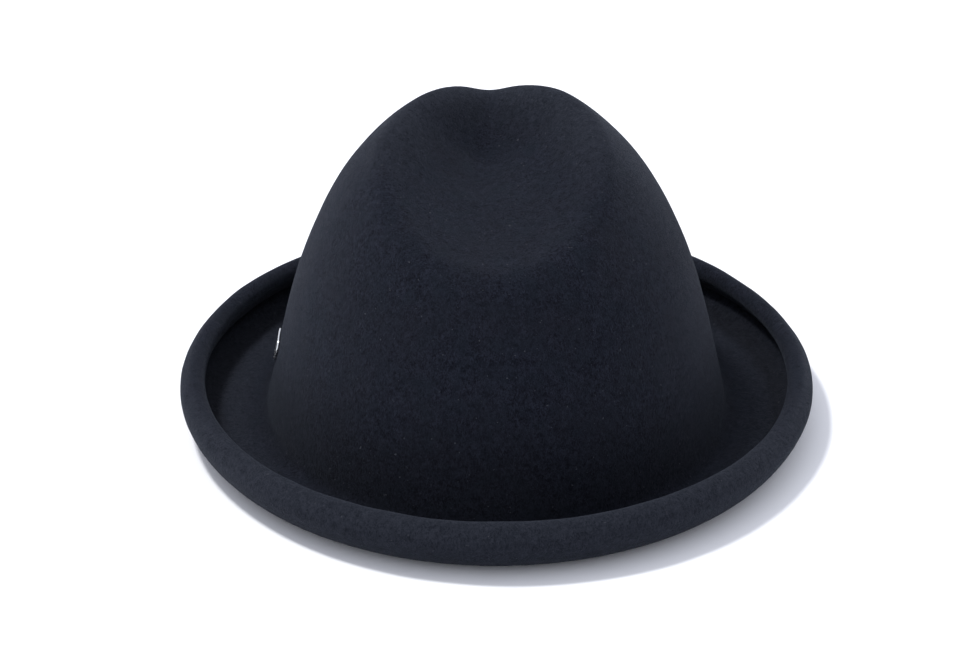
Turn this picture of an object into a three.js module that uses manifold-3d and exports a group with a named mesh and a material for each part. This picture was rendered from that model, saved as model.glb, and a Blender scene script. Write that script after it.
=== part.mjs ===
// A bowler-shaped hat blocked from one piece of wool felt: a tall tapering crown with a
// crease that slopes down to the front, and a brim rolled up and over along its whole edge.
// Inside are a sewn-in lining, a leather sweatband on its reed, a bow and labels.
// A small plain metal badge is fixed through the left wall of the crown.
//
// Frame: millimetres, +Z up, front of the hat towards -Y, left side towards -X.
// The origin is on the surface that the brim rests on, at the middle of the crown's oval.

import * as THREE from "three";
import Module from "manifold-3d";
import { mergeVertices } from "three/addons/utils/BufferGeometryUtils.js";

const wasm = await Module();
wasm.setup();

// ---- Driving dimensions --------------------------------------------------------------

const FELT = 2.2; // thickness of the blocked felt
const CROWN_HALF_WIDTH = 91; // outer face of the crown at its foot, side to side
const CROWN_HALF_LENGTH = 109; // the same, front to back
const CROWN_HEIGHT = 134.5; // height that the crown would have without its crease
const CROWN_TAPER = 0.306; // share of its width that the crown loses towards its top
const CROWN_SQUARENESS = 3.68; // exponent of the crown's profile: higher is more square

const FOOT_RADIUS = 6.3; // bend between crown and brim, at the middle of the felt
const BRIM_FLAT = 12.4; // flat ring that the hat rests on
const BRIM_DISH_RADIUS = 16.4; // upward sweep of the brim
const BRIM_DISH = 72.5; // degrees that this sweep turns through
const BRIM_BEND_RADIUS = 5.3; // tighter bend that brings the brim past upright
const BRIM_LEAN = 134; // heading of the upright part, in degrees from level
const BRIM_WALL = 1.7; // length of the upright part
const ROLL_RADIUS = 2.95; // roll of the edge, at the middle of the felt
const ROLL_TURN = 169; // degrees that the roll turns through
const ROLL_TAIL = 5.0; // straight felt from the roll to the raw edge

const CREASE_FRONT = -81; // where the crease runs out over the front wall, along Y
const CREASE_FRONT_Z = 88.6; // height of the crease there
const CREASE_BACK = 17.7; // where the floor of the crease starts to climb
const CREASE_BACK_Z = 100.5; // height of the floor there
const CREASE_CLIMB = 0.61; // slope of the wall that closes the crease at the back
const CREASE_CLIMB_BLEND = 6.5; // softness of the corner between that floor and wall
const CREASE_HALF_FRONT = 42.8; // half width of the crease at its front
const CREASE_HALF_BACK = 19.5; // half width of the crease at its back
const CREASE_SIDE = 8.7; // rise of the crease's sides at that half width
const CREASE_EDGE_BLEND = 7; // softness of the ridge round the crease, at its front
const CREASE_RIM_BLEND = 12; // the same at its back
const CREASE_NOTCH = 9.6; // dip between the two lobes at the back of the crease
const CREASE_NOTCH_X = -4.4;
const CREASE_NOTCH_HALF = 11.3;
const CREASE_TILT = 0.099; // the right lobe stands higher than the left one

const BAND_BOTTOM = 4; // lower edge of the sweatband
const BAND_HEIGHT = 33;
const BAND_THICKNESS = 0.8;
const BAND_SPLIT = 1.2; // gap between the sweatband's two ends, at the back
const CLOTH = 0.4; // thickness of lining cloth, tape and labels
const GAP = 0.35; // clearance left between neighbouring pieces
const LINING_CLEARANCE = 1.9; // room between felt and lining for the badge's fixings
const LINING_SLACK = 2; // how far the lining hangs below the crown's top, past that room
const LINING_BOTTOM = 24; // the lining's lower edge is tucked behind the sweatband
const LINING_SEAM = 0.42; // place of the seam between lining tip and side: 0 is the top
const CORD_RADIUS = 0.6; // cord piped into that seam
const CORD_DROP = 1.1; // how far the cord hangs below the lining's slope
const REED_RADIUS = 0.6;
const REED_TAPE = 0.25;
const THREAD_RADIUS = 0.25;

const BADGE_LENGTH = 16;
const BADGE_HEIGHT = 10;
const BADGE_THICKNESS = 0.8;
const BADGE_CENTRE_Z = 26.5;
const BADGE_POST_RADIUS = 0.5;
const BADGE_POST_SPACING = 8;
const BACK_PLATE_THICKNESS = 0.4;
const BACK_PLATE_CLEARANCE = 0.5; // the flat plate stands clear of the curved felt
const CLIP_THICKNESS = 0.3;
const CLIP_RADIUS = 1.8;
const CLIP_CLEARANCE = 0.2; // between the clips and the back plate
const BADGE_BEVEL = 0.2;
const BADGE_CORNER = 2;
const BACK_PLATE_MARGIN = 2; // from a post's middle to the back plate's end
const BACK_PLATE_HEIGHT = 5;

const CARE_LABEL_HINGE_Z = 52; // height of the seam that the care label hangs from
const CARE_LABEL_WIDTH = 24;
const CARE_LABEL_DROP = 28;

const SEGMENTS = 48; // facets round the hat
const CROWN_ROWS = 24; // facets from the crown's foot to its top
const LINING_ROWS = 14;
const FULL_TURN = 2 * Math.PI;
const REAR = Math.PI / 2;
const FRONT = -Math.PI / 2;
const LEFT = Math.PI;
const radians = THREE.MathUtils.degToRad;

// The middle of the felt's thickness carries the shape of crown and brim.
const MID_HALF_WIDTH = CROWN_HALF_WIDTH - FELT / 2;
const MID_HALF_LENGTH = CROWN_HALF_LENGTH - FELT / 2;
const MID_TOP = CROWN_HEIGHT - FELT / 2;
const FOOT_LEAN = Math.atan(((CROWN_HALF_WIDTH + CROWN_HALF_LENGTH) / 2) * CROWN_TAPER / CROWN_HEIGHT);
const FOOT_Z = FELT / 2 + FOOT_RADIUS * (1 - Math.sin(FOOT_LEAN));

// ---- Mesh helpers --------------------------------------------------------------------

function signedVolume(positions, triangles) {
  let volume = 0;
  const [a, b, c] = [new THREE.Vector3(), new THREE.Vector3(), new THREE.Vector3()];
  for (let i = 0; i < triangles.length; i += 3) {
    a.fromArray(positions, 3 * triangles[i]);
    b.fromArray(positions, 3 * triangles[i + 1]);
    c.fromArray(positions, 3 * triangles[i + 2]);
    volume += a.dot(b.cross(c)) / 6;
  }
  return volume;
}

// A closed geometry from points and triangles, turned so that its faces point out.
function solid(points, triangles) {
  const positions = points.flatMap((p) => [p.x, p.y, p.z]);
  if (signedVolume(positions, triangles) < 0) triangles.reverse();
  const geometry = new THREE.BufferGeometry();
  geometry.setAttribute("position", new THREE.Float32BufferAttribute(positions, 3));
  geometry.setIndex(triangles);
  return geometry;
}

// Joins each outline to the next one. All outlines are closed and have as many points.
// The ends meet each other when endless, and are closed to a middle point otherwise.
function loft(outlines, { endless = false, tips = null } = {}) {
  const count = outlines[0].length;
  const points = outlines.flat();
  const triangles = [];
  const bands = endless ? outlines.length : outlines.length - 1;
  for (let row = 0; row < bands; row += 1) {
    const here = row * count;
    const there = ((row + 1) % outlines.length) * count;
    for (let i = 0; i < count; i += 1) {
      const j = (i + 1) % count;
      triangles.push(here + i, here + j, there + j, here + i, there + j, there + i);
    }
  }
  if (!endless) {
    const ends = tips ?? [middle(outlines[0]), middle(outlines.at(-1))];
    const last = (outlines.length - 1) * count;
    points.push(...ends);
    for (let i = 0; i < count; i += 1) {
      const j = (i + 1) % count;
      triangles.push(points.length - 2, j, i, points.length - 1, last + i, last + j);
    }
  }
  return solid(points, triangles);
}

function middle(points) {
  const sum = new THREE.Vector3();
  points.forEach((p) => sum.add(p));
  return sum.divideScalar(points.length);
}

function toManifold(geometry) {
  const bare = geometry.clone();
  bare.deleteAttribute("normal");
  bare.deleteAttribute("uv");
  const merged = mergeVertices(bare, 1e-4);
  const vertProperties = new Float32Array(merged.attributes.position.array);
  const triVerts = new Uint32Array(merged.index.array);
  return new wasm.Manifold(new wasm.Mesh({ numProp: 3, vertProperties, triVerts }));
}

function fromManifold(shape) {
  const { vertProperties, triVerts } = shape.getMesh();
  const geometry = new THREE.BufferGeometry();
  geometry.setAttribute("position", new THREE.Float32BufferAttribute(vertProperties, 3));
  geometry.setIndex(Array.from(triVerts));
  return geometry;
}

function around(makePoint, count = SEGMENTS) {
  return Array.from({ length: count }, (_, i) => makePoint((FULL_TURN * i) / count));
}

// ---- Shape of the crown --------------------------------------------------------------

// How much the crown's oval has shrunk at a height.
function ovalScale(z) {
  const rise = (z - FOOT_Z) / (MID_TOP - FOOT_Z);
  const shoulder = Math.sqrt(1 - Math.max(rise, 0) ** CROWN_SQUARENESS);
  return (1 - CROWN_TAPER * rise) * shoulder;
}

// How far a place lies along the crease, from 0 at its front to 1 where its back starts.
function alongCrease(y) {
  return (y - CREASE_FRONT) / (CREASE_BACK - CREASE_FRONT);
}

// Height of the crease at a place in plan: a floor that climbs to the back, with curved
// sides, closed by a steeper wall with a dip in the middle of its upper edge.
function creaseHeight(x, y) {
  const along = alongCrease(y);
  const floor = THREE.MathUtils.lerp(CREASE_FRONT_Z, CREASE_BACK_Z, along);
  const past = y - CREASE_BACK;
  const climb = (CREASE_CLIMB * (past + Math.hypot(past, CREASE_CLIMB_BLEND))) / 2;
  const spread = THREE.MathUtils.clamp(along, -0.3, 1.6);
  const halfWidth = THREE.MathUtils.lerp(CREASE_HALF_FRONT, CREASE_HALF_BACK, spread);
  const across = Math.exp(-(((x - CREASE_NOTCH_X) / CREASE_NOTCH_HALF) ** 2));
  const notch = CREASE_NOTCH * across * THREE.MathUtils.clamp(along - 0.6, 0, 1);
  const tilt = CREASE_TILT * x * THREE.MathUtils.clamp(along, 0, 1);
  return floor + climb + CREASE_SIDE * (x / halfWidth) ** 2 - notch + tilt;
}

// The lower of two heights. The corner between them is rounded, less so at the front.
function blendLower(a, b, y) {
  const along = THREE.MathUtils.clamp(alongCrease(y), 0, 1);
  const blend = THREE.MathUtils.lerp(CREASE_EDGE_BLEND, CREASE_RIM_BLEND, along);
  const share = THREE.MathUtils.clamp(0.5 + (b - a) / (2 * blend), 0, 1);
  return THREE.MathUtils.lerp(b, a, share) - blend * share * (1 - share);
}

// Height share and width share of the uncreased crown. `climb` runs from 0 at its foot to
// a right angle at its top.
function crownProfile(climb) {
  const rise = Math.sin(climb) ** (2 / CROWN_SQUARENESS);
  return { rise, scale: (1 - CROWN_TAPER * rise) * Math.cos(climb) };
}

// A point of the creased crown. `inset` moves the surface inwards, and `sink` lowers its
// top.
function crownPoint(climb, theta, inset = 0, sink = 0) {
  const { rise, scale } = crownProfile(climb);
  const x = (MID_HALF_WIDTH - inset) * scale * Math.cos(theta);
  const y = (MID_HALF_LENGTH - inset) * scale * Math.sin(theta);
  const z = FOOT_Z + (MID_TOP - FOOT_Z) * rise - sink * rise ** 2;
  return new THREE.Vector3(x, y, blendLower(z, creaseHeight(x, y) - sink, y));
}

// Values of `climb` that lie evenly along the crown's profile, from foot to top.
function evenClimbs(rows) {
  const fine = 400;
  const lengths = [0];
  let before = new THREE.Vector2(MID_HALF_WIDTH, FOOT_Z);
  for (let i = 1; i <= fine; i += 1) {
    const { rise, scale } = crownProfile((Math.PI * i) / (2 * fine));
    const here = new THREE.Vector2(MID_HALF_WIDTH * scale, FOOT_Z + (MID_TOP - FOOT_Z) * rise);
    lengths.push(lengths[i - 1] + here.distanceTo(before));
    before = here;
  }
  return Array.from({ length: rows + 1 }, (_, row) => {
    const wanted = (lengths[fine] * row) / rows;
    const next = Math.max(1, lengths.findIndex((length) => length >= wanted - 1e-9));
    const share = (wanted - lengths[next - 1]) / (lengths[next] - lengths[next - 1]);
    return (Math.PI / 2) * ((next - 1 + share) / fine);
  });
}

// Outward direction of the crown's surface, from its slope both ways.
function crownNormal(climb, theta) {
  const step = 0.004;
  const low = Math.max(climb - step, 0.001);
  const up = crownPoint(climb + step, theta).sub(crownPoint(low, theta));
  const round = crownPoint(climb, theta + step).sub(crownPoint(climb, theta - step));
  return round.cross(up).normalize();
}

// A point on an upright inner wall of the crown: `inset` is measured from the felt's
// inner face at the foot.
function wallPoint(z, theta, inset) {
  const scale = ovalScale(z);
  const x = (MID_HALF_WIDTH - FELT / 2 - inset) * scale * Math.cos(theta);
  const y = (MID_HALF_LENGTH - FELT / 2 - inset) * scale * Math.sin(theta);
  return new THREE.Vector3(x, y, z);
}

// ---- Shape of the brim ---------------------------------------------------------------

// Follows straight and curved steps in a vertical plane and returns the stations on the
// way: distance out from the crown's foot, height, and heading.
function followProfile(start, heading, steps) {
  const stations = [{ out: start.out, z: start.z, heading }];
  for (const { length = 0, radius = 0, turn = 0, parts } of steps) {
    for (let i = 0; i < parts; i += 1) {
      const { out, z, heading: before } = stations.at(-1);
      const after = before + turn / parts;
      const run = turn === 0 ? length / parts : 2 * radius * Math.sin(turn / parts / 2);
      const mean = (before + after) / 2;
      stations.push({ out: out + run * Math.cos(mean), z: z + run * Math.sin(mean), heading: after });
    }
  }
  return stations;
}

function brimStations() {
  const start = { out: 0, z: FOOT_Z };
  return followProfile(start, FOOT_LEAN - Math.PI / 2, [
    { radius: FOOT_RADIUS, turn: Math.PI / 2 - FOOT_LEAN, parts: 3 },
    { length: BRIM_FLAT, parts: 1 },
    { radius: BRIM_DISH_RADIUS, turn: radians(BRIM_DISH), parts: 4 },
    { radius: BRIM_BEND_RADIUS, turn: radians(BRIM_LEAN - BRIM_DISH), parts: 2 },
    { length: BRIM_WALL, parts: 1 },
    { radius: ROLL_RADIUS, turn: radians(ROLL_TURN), parts: 6 },
    { length: ROLL_TAIL, parts: 1 },
  ]);
}

// A point of the brim, `side` away from the middle of the felt towards its upper face.
function brimPoint({ out, z, heading }, theta, side) {
  const reach = out - side * Math.sin(heading);
  const facing = new THREE.Vector2(MID_HALF_LENGTH * Math.cos(theta), MID_HALF_WIDTH * Math.sin(theta));
  facing.normalize();
  const x = MID_HALF_WIDTH * Math.cos(theta) + reach * facing.x;
  const y = MID_HALF_LENGTH * Math.sin(theta) + reach * facing.y;
  return new THREE.Vector3(x, y, z + side * Math.cos(heading));
}

// ---- Felt ----------------------------------------------------------------------------

function feltShell() {
  const climbs = evenClimbs(CROWN_ROWS).slice(1, -1);
  const face = (side) => climbs.map((climb) => around((theta) => {
    return crownPoint(climb, theta).addScaledVector(crownNormal(climb, theta), side);
  }));
  const stations = brimStations();
  const brim = (side) => stations.map((station) => around((theta) => brimPoint(station, theta, side)));
  const top = crownPoint(Math.PI / 2, 0);
  const rise = new THREE.Vector3(0, 0, FELT / 2);
  const outside = [...face(FELT / 2).reverse(), ...brim(FELT / 2)];
  const inside = [...brim(-FELT / 2).reverse(), ...face(-FELT / 2)];
  return loft([...outside, ...inside], { tips: [top.clone().add(rise), top.clone().sub(rise)] });
}

function feltBody(badge) {
  let shape = toManifold(feltShell());
  for (const offset of [-BADGE_POST_SPACING / 2, BADGE_POST_SPACING / 2]) {
    const hole = new THREE.CylinderGeometry(BADGE_POST_RADIUS + GAP, BADGE_POST_RADIUS + GAP, 12, 8);
    hole.rotateX(Math.PI / 2);
    hole.translate(offset, 0, 0);
    hole.applyMatrix4(badge);
    shape = shape.subtract(toManifold(hole));
  }
  return fromManifold(shape);
}

// ---- Lining --------------------------------------------------------------------------

const LINING_INSET = FELT / 2 + LINING_CLEARANCE;

// The lining's tip and side share one surface, split at the seam. `climb` is as in
// crownPoint, and `layer` is 0 on the outer face of the cloth and 1 on its inner face.
function liningPoint(climb, theta, layer) {
  const inset = LINING_INSET + layer * CLOTH;
  return crownPoint(climb, theta, inset, LINING_INSET + LINING_SLACK + layer * CLOTH * 1.8);
}

function liningRows() {
  const climbs = evenClimbs(LINING_ROWS);
  const seam = Math.round(LINING_ROWS * (1 - LINING_SEAM));
  const start = climbAt(LINING_BOTTOM);
  const side = [start, ...climbs.slice(0, seam + 1).filter((climb) => climb > start + 0.05)];
  return { side, tip: climbs.slice(seam, -1) };
}

function liningSide() {
  const { side } = liningRows();
  side[side.length - 1] -= 0.012;
  const face = (layer) => side.map((climb) => around((theta) => liningPoint(climb, theta, layer)));
  return loft([...face(0), ...face(1).reverse()], { endless: true });
}

function liningTip() {
  const { tip } = liningRows();
  const face = (layer) => tip.map((climb) => around((theta) => liningPoint(climb, theta, layer)));
  const tips = [liningPoint(Math.PI / 2, 0, 0), liningPoint(Math.PI / 2, 0, 1)];
  return loft([...face(0).reverse(), ...face(1)], { tips });
}

function liningSeamCord() {
  const { tip } = liningRows();
  const inset = LINING_INSET + CLOTH + GAP + CORD_RADIUS;
  const centre = (theta) => crownPoint(tip[0], theta, inset, inset + LINING_SLACK + CORD_DROP);
  return ringTube(centre, CORD_RADIUS, 5);
}

// ---- Sweatband and what is sewn to it ------------------------------------------------

// A tube round the hat along `centre`, a function of the angle.
function ringTube(centre, radius, sides) {
  const outlines = around((theta) => {
    const here = centre(theta);
    const out = new THREE.Vector3(Math.cos(theta), Math.sin(theta), 0);
    return Array.from({ length: sides }, (_, i) => {
      const turn = (FULL_TURN * i) / sides;
      const lift = new THREE.Vector3(0, 0, radius * Math.sin(turn));
      return here.clone().addScaledVector(out, radius * Math.cos(turn)).add(lift);
    });
  });
  return loft(outlines, { endless: true });
}

// A flat strip that stands against the wall between two angles. Its angles include the
// hat's own facet corners, so strips at different insets stay parallel.
function wallStrip({ from, to, bottom, top, inset, thickness, rows = 2 }) {
  const step = FULL_TURN / SEGMENTS;
  const angles = [from];
  for (let i = Math.ceil(from / step + 0.05); i * step < to - 0.05 * step; i += 1) angles.push(i * step);
  angles.push(to);
  const heights = Array.from({ length: rows + 1 }, (_, i) => THREE.MathUtils.lerp(bottom, top, i / rows));
  const outlines = angles.map((theta) => [
    ...heights.map((z) => wallPoint(z, theta, inset)),
    ...heights.map((z) => wallPoint(z, theta, inset + thickness)).reverse(),
  ]);
  return loft(outlines);
}

const BAND_INSET = LINING_CLEARANCE + CLOTH + GAP;
const BAND_TOP = BAND_BOTTOM + BAND_HEIGHT;
const FACING_INSET = BAND_INSET + BAND_THICKNESS + GAP; // what lies on the sweatband's inner face
const REED_INSET = 1.1;
const REED_Z = 3.1;

function angleFor(width) {
  return width / MID_HALF_WIDTH;
}

function sweatband() {
  const half = angleFor(BAND_SPLIT) / 2;
  const span = { from: REAR + half, to: REAR + FULL_TURN - half };
  return wallStrip({
    ...span, bottom: BAND_BOTTOM, top: BAND_TOP, inset: BAND_INSET, thickness: BAND_THICKNESS,
  });
}

function sweatbandReed() {
  return ringTube((theta) => wallPoint(REED_Z, theta, REED_INSET), REED_RADIUS, 6);
}

// A tape folded round the reed. Its inner leg stands up along the sweatband's outer face.
function reedTape() {
  const inner = REED_RADIUS + GAP;
  const outer = inner + REED_TAPE;
  const arc = (radius, steps) => Array.from({ length: steps + 1 }, (_, i) => {
    const turn = radians(THREE.MathUtils.lerp(50, -180, i / steps));
    return { inset: REED_INSET - radius * Math.cos(turn), z: REED_Z + radius * Math.sin(turn) };
  });
  const legTop = BAND_BOTTOM + 5;
  const section = [
    ...arc(outer, 4),
    { inset: REED_INSET + outer, z: legTop },
    { inset: REED_INSET + inner, z: legTop },
    ...arc(inner, 4).reverse(),
  ];
  const outlines = around((theta) => section.map(({ inset, z }) => wallPoint(z, theta, inset)));
  return loft(outlines, { endless: true });
}

function sweatbandStitching() {
  const inset = FACING_INSET + THREAD_RADIUS;
  return ringTube((theta) => wallPoint(BAND_BOTTOM + 2.6, theta, inset), THREAD_RADIUS, 4);
}

// A patch sewn flat on the sweatband's inner face, `middle` being its angle round the hat.
function facingPatch(centre, width, bottom, height, inset = FACING_INSET) {
  const half = angleFor(width) / 2;
  return wallStrip({
    from: centre - half, to: centre + half, bottom, top: bottom + height, inset, thickness: CLOTH,
  });
}

// ---- Bow at the back -----------------------------------------------------------------

const RIBBON_WIDTH = 5;
const BOW_Z = BAND_BOTTOM + 9;
const BOW_LOOP_LENGTH = 15;
const BOW_LOOP_DEPTH = 4.4;
const BOW_WALL = 0.6;
const BOW_KNOT_WIDTH = 2.6;
const BOW_KNOT_DEPTH = 3.6;
const BOW_STANDOFF = 1; // clear of the seam tape behind it
const BOW_FACE = wallPoint(BOW_Z + RIBBON_WIDTH, REAR, FACING_INSET + CLOTH + GAP).y - BOW_STANDOFF;

// One flattened loop of ribbon, beside the knot on the given side.
function bowLoop(side) {
  const centre = (side * (BOW_KNOT_WIDTH + BOW_LOOP_LENGTH + 2 * GAP)) / 2;
  const [halfLength, halfDepth] = [BOW_LOOP_LENGTH / 2, BOW_LOOP_DEPTH / 2];
  const shape = new THREE.Shape();
  shape.absellipse(centre, 0, halfLength, halfDepth, 0, FULL_TURN, false);
  const hole = new THREE.Path();
  hole.absellipse(centre, 0, halfLength - BOW_WALL, halfDepth - BOW_WALL, 0, FULL_TURN, true);
  shape.holes.push(hole);
  const options = { depth: RIBBON_WIDTH, bevelEnabled: false, curveSegments: 12 };
  const geometry = new THREE.ExtrudeGeometry(shape, options);
  geometry.translate(0, BOW_FACE - halfDepth, BOW_Z - RIBBON_WIDTH / 2);
  return geometry;
}

function bowKnot() {
  const shape = roundedRectangle(BOW_KNOT_WIDTH, BOW_KNOT_DEPTH, 0.8);
  const height = RIBBON_WIDTH + 1;
  const geometry = new THREE.ExtrudeGeometry(shape, { depth: height, bevelEnabled: false, curveSegments: 3 });
  geometry.translate(0, BOW_FACE - BOW_LOOP_DEPTH / 2, BOW_Z - height / 2);
  return geometry;
}

// ---- Badge ---------------------------------------------------------------------------

// Turns the badge's own frame, with X along the hat, Y up the wall and Z out of it, into
// the hat's frame. Its origin is on the outer face of the felt.
function badgeFrame() {
  const climb = climbAt(BADGE_CENTRE_Z);
  const out = crownNormal(climb, LEFT);
  const along = new THREE.Vector3(0, -1, 0);
  const up = out.clone().cross(along);
  const place = crownPoint(climb, LEFT).addScaledVector(out, FELT / 2);
  return new THREE.Matrix4().makeBasis(along, up, out).setPosition(place);
}

function roundedRectangle(width, height, radius) {
  const shape = new THREE.Shape();
  const [x, y] = [width / 2 - radius, height / 2 - radius];
  shape.absarc(x, y, radius, 0, Math.PI / 2, false);
  shape.absarc(-x, y, radius, Math.PI / 2, Math.PI, false);
  shape.absarc(-x, -y, radius, Math.PI, 1.5 * Math.PI, false);
  shape.absarc(x, -y, radius, 1.5 * Math.PI, 2 * Math.PI, false);
  return shape;
}

// A post from inside the badge's plate to just short of the lining.
function badgePost(offset) {
  const top = GAP + BADGE_BEVEL + 0.1;
  const bottom = 0.4 - FELT - LINING_CLEARANCE;
  const post = new THREE.CylinderGeometry(BADGE_POST_RADIUS, BADGE_POST_RADIUS, top - bottom, 8);
  post.rotateX(Math.PI / 2);
  post.translate(offset, 0, (top + bottom) / 2);
  return post;
}

function badgePlate() {
  const shape = roundedRectangle(BADGE_LENGTH, BADGE_HEIGHT, BADGE_CORNER);
  const size = BADGE_BEVEL;
  const bevel = { bevelThickness: size, bevelSize: size, bevelOffset: -size, bevelSegments: 1 };
  const options = { depth: BADGE_THICKNESS - BADGE_BEVEL, curveSegments: 4, ...bevel };
  const plate = new THREE.ExtrudeGeometry(shape, options);
  plate.translate(0, 0, GAP + BADGE_BEVEL);
  const half = BADGE_POST_SPACING / 2;
  const posts = [-half, half].map((offset) => toManifold(badgePost(offset)));
  return fromManifold(toManifold(plate).add(posts[0]).add(posts[1]));
}

// A thin plate inside the crown that spreads the badge's pull over the felt.
function badgeBackPlate() {
  const shape = roundedRectangle(BADGE_POST_SPACING + 2 * BACK_PLATE_MARGIN, BACK_PLATE_HEIGHT, 1.5);
  for (const offset of [-BADGE_POST_SPACING / 2, BADGE_POST_SPACING / 2]) {
    const hole = new THREE.Path();
    hole.absarc(offset, 0, BADGE_POST_RADIUS + 0.3, 0, FULL_TURN, true);
    shape.holes.push(hole);
  }
  const options = { depth: BACK_PLATE_THICKNESS, bevelEnabled: false, curveSegments: 4 };
  const plate = new THREE.ExtrudeGeometry(shape, options);
  plate.translate(0, 0, -FELT - BACK_PLATE_CLEARANCE - BACK_PLATE_THICKNESS);
  return plate;
}

// A push-on ring that grips a badge post behind the back plate.
function badgeClip(offset) {
  const shape = new THREE.Shape();
  shape.absarc(offset, 0, CLIP_RADIUS, 0, FULL_TURN, false);
  const hole = new THREE.Path();
  hole.absarc(offset, 0, BADGE_POST_RADIUS + 0.15, 0, FULL_TURN, true);
  shape.holes.push(hole);
  const options = { depth: CLIP_THICKNESS, bevelEnabled: false, curveSegments: 6 };
  const clip = new THREE.ExtrudeGeometry(shape, options);
  const behind = BACK_PLATE_CLEARANCE + BACK_PLATE_THICKNESS + CLIP_CLEARANCE;
  clip.translate(0, 0, -FELT - behind - CLIP_THICKNESS);
  return clip;
}

// ---- Care label ----------------------------------------------------------------------

// A folded cloth label, caught by its upper edge in the lining and hanging free.
function careLabel() {
  const corner = REAR + (0.65 * CARE_LABEL_WIDTH) / MID_HALF_WIDTH;
  const face = liningPoint(climbAt(CARE_LABEL_HINGE_Z), corner, 1).y - GAP;
  const geometry = new THREE.BoxGeometry(CARE_LABEL_WIDTH, 2 * CLOTH, CARE_LABEL_DROP);
  geometry.translate(0, face - CLOTH, CARE_LABEL_HINGE_Z - CARE_LABEL_DROP / 2);
  return geometry;
}

// The value of `climb` at which the uncreased crown wall is at a height.
function climbAt(z) {
  return Math.asin(((z - FOOT_Z) / (MID_TOP - FOOT_Z)) ** (CROWN_SQUARENESS / 2));
}

// ---- Assembly ------------------------------------------------------------------------

const FELT_LOOK = { color: 0x1b1d26, roughness: 0.95, metalness: 0 };
const LEATHER_LOOK = { color: 0x1a1614, roughness: 0.55, metalness: 0 };
const SATIN_LOOK = { color: 0x20222b, roughness: 0.35, metalness: 0 };
const TAPE_LOOK = { color: 0x15161a, roughness: 0.8, metalness: 0 };
const REED_LOOK = { color: 0xd8d4c6, roughness: 0.5, metalness: 0 };
const THREAD_LOOK = { color: 0x2b2d33, roughness: 0.7, metalness: 0 };
const LABEL_LOOK = { color: 0xb9b9b4, roughness: 0.7, metalness: 0 };
const METAL_LOOK = { color: 0xc9ccd1, roughness: 0.25, metalness: 1 };

const hat = new THREE.Group();

function addPart(name, geometry, look, place = null) {
  const mesh = new THREE.Mesh(geometry, new THREE.MeshStandardMaterial(look));
  mesh.name = name;
  if (place) place.decompose(mesh.position, mesh.quaternion, mesh.scale);
  hat.add(mesh);
}

const badge = badgeFrame();
addPart("felt_body", feltBody(badge), FELT_LOOK);
addPart("lining_side", liningSide(), SATIN_LOOK);
addPart("lining_tip", liningTip(), SATIN_LOOK);
addPart("lining_seam_cord", liningSeamCord(), SATIN_LOOK);
addPart("sweatband", sweatband(), LEATHER_LOOK);
addPart("sweatband_reed", sweatbandReed(), REED_LOOK);
addPart("reed_tape", reedTape(), TAPE_LOOK);
addPart("sweatband_stitching", sweatbandStitching(), THREAD_LOOK);
addPart("rear_seam_tape", facingPatch(REAR, 10, BAND_BOTTOM + 4, 27), TAPE_LOOK);
addPart("bow_loop_left", bowLoop(-1), TAPE_LOOK);
addPart("bow_loop_right", bowLoop(1), TAPE_LOOK);
addPart("bow_knot", bowKnot(), TAPE_LOOK);
addPart("maker_label", facingPatch(FRONT + FULL_TURN, 44, BAND_BOTTOM + 7, 18), LABEL_LOOK);
addPart("size_label", facingPatch(REAR + 0.42, 14, BAND_BOTTOM + 10, 14), LABEL_LOOK);
addPart("care_label", careLabel(), LABEL_LOOK);
addPart("badge_plate", badgePlate(), METAL_LOOK, badge);
addPart("badge_back_plate", badgeBackPlate(), METAL_LOOK, badge);
addPart("badge_clip_rear", badgeClip(-BADGE_POST_SPACING / 2), METAL_LOOK, badge);
addPart("badge_clip_front", badgeClip(BADGE_POST_SPACING / 2), METAL_LOOK, badge);

export default hat;
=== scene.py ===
"""A bowler-shaped wool felt hat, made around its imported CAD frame.

Metres, +Z up. The front of the hat faces -Y and the badge is on its left side, -X.
The felt body is one surface from the top of the crown to the raw edge inside the rolled
brim, given the felt's thickness on both sides. The sewn parts inside it follow the same
crown shape at smaller ovals.
"""

import math

import bpy
import numpy as np
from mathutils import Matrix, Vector, noise


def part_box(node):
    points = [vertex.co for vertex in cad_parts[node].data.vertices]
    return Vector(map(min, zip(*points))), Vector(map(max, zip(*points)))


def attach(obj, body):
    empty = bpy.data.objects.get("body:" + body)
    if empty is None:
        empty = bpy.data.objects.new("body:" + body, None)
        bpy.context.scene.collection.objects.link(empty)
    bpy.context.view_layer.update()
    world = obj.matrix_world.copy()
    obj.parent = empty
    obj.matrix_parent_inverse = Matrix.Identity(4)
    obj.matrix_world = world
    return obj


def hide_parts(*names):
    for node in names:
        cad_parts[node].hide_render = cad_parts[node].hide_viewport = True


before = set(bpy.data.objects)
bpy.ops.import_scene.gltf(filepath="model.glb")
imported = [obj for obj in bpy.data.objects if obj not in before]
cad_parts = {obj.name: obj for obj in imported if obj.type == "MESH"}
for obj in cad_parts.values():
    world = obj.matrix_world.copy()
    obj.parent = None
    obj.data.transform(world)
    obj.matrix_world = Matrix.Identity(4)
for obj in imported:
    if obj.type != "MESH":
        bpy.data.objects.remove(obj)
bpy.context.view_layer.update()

MM = 0.001
TURN = 2 * math.pi
REAR, FRONT, LEFT = math.pi / 2, -math.pi / 2, math.pi

# ---- Sizes, as in the CAD part -----------------------------------------------------------

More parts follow.
